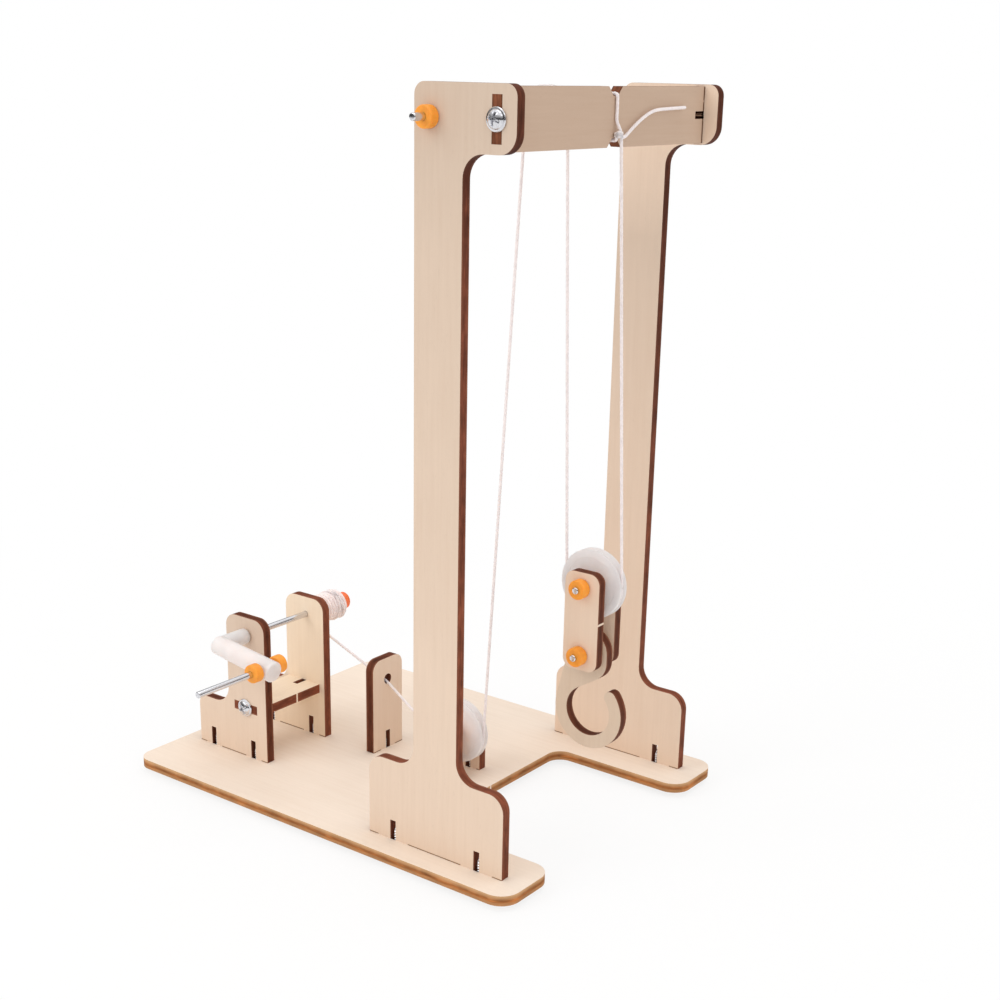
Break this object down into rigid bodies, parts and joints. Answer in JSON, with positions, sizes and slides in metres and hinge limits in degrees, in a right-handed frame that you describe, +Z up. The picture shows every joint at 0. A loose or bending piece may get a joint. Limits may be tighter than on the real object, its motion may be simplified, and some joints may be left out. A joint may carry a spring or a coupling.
{
  "type": "hand_operated_crane_model",
  "caption": "Tabletop plywood crane: a crank winds a string through a guide and pulleys to lift a hook block between two tall uprights.",
  "frame": {"origin": "middle of the underside of the base plate", "axes": "+X from the winch end to the hook end, +Y across the base away from the crank, +Z up"},
  "size_m": [0.1462, 0.1285, 0.2101],
  "materials": {
    "birch_ply": "matte",
    "steel": "satin",
    "orange_plastic": "satin",
    "white_plastic": "satin",
    "cotton_string": "matte"
  },
  "bodies": {
    "frame": {"base_plate": "birch_ply", "base_screws": "steel", "near_upright": "birch_ply", "far_upright": "birch_ply", "crossbeam": "birch_ply", "beam_screws": "steel", "winch_near_plate": "birch_ply", "winch_far_plate": "birch_ply", "winch_shelf": "birch_ply", "shelf_screws": "steel", "guide_plate": "birch_ply", "near_bracket": "birch_ply", "far_bracket": "birch_ply", "bracket_shaft": "steel", "bracket_bushings": "orange_plastic", "top_shaft": "steel", "top_bushings": "orange_plastic", "top_collars": "orange_plastic", "string_lead": "cotton_string", "string_down_fall": "cotton_string", "string_up_fall": "cotton_string", "string_tie": "cotton_string"},
    "winch": {"winch_shaft": "steel", "crank": "white_plastic", "spool_core": "white_plastic", "spool_winding": "cotton_string", "spool_bushing": "orange_plastic"},
    "handle": {"handle_rod": "steel", "handle_bushings": "orange_plastic"},
    "top_wheel": {"top_pulley": "white_plastic"},
    "bottom_wheel": {"bottom_pulley": "white_plastic"},
    "block": {"front_link": "birch_ply", "rear_link": "birch_ply", "upper_pin": "steel", "lower_pin": "steel", "block_bushings": "orange_plastic", "string_block_loop": "cotton_string"},
    "block_wheel": {"block_pulley": "white_plastic"},
    "hook_piece": {"hook": "birch_ply"}
  },
  "joints": [
    {"name": "block_lift", "type": "slide", "parent": "frame", "child": "block", "axis": [0, 0, 1], "range_m": [0, 0.1], "deforming": ["string_down_fall", "string_up_fall"]},
    {"name": "crank_turn", "type": "hinge", "parent": "frame", "child": "winch", "pos_m": [-0.0448, 0, 0.0442], "axis": [0, 1, 0], "range_deg": [0, 2840]},
    {"name": "handle_spin", "type": "hinge", "parent": "winch", "child": "handle", "pos_m": [-0.02499, -0.0451, 0.04149], "axis": [0, 1, 0], "continuous": true},
    {"name": "bottom_pulley_spin", "type": "hinge", "parent": "frame", "child": "bottom_wheel", "pos_m": [0.0131, 0, 0.0172], "axis": [0, 1, 0], "range_deg": [0, 1250]},
    {"name": "top_pulley_spin", "type": "hinge", "parent": "frame", "child": "top_wheel", "pos_m": [0.0396, 0, 0.2003], "axis": [0, 1, 0], "range_deg": [-1710, 0]},
    {"name": "block_pulley_spin", "type": "hinge", "parent": "block", "child": "block_wheel", "pos_m": [0.0605, 0, 0.0752], "axis": [0, 1, 0], "range_deg": [0, 630]},
    {"name": "hook_swing", "type": "hinge", "parent": "block", "child": "hook_piece", "pos_m": [0.0605, 0, 0.0552], "axis": [0, 1, 0], "range_deg": [-25, 25]}
  ],
  "couplings": [
    {"joint": "crank_turn", "follows": "block_lift", "rad_per_m": 493.83},
    {"joint": "bottom_pulley_spin", "follows": "block_lift", "rad_per_m": 216.22},
    {"joint": "top_pulley_spin", "follows": "block_lift", "rad_per_m": -296.3},
    {"joint": "block_pulley_spin", "follows": "block_lift", "rad_per_m": 108.11}
  ]
}
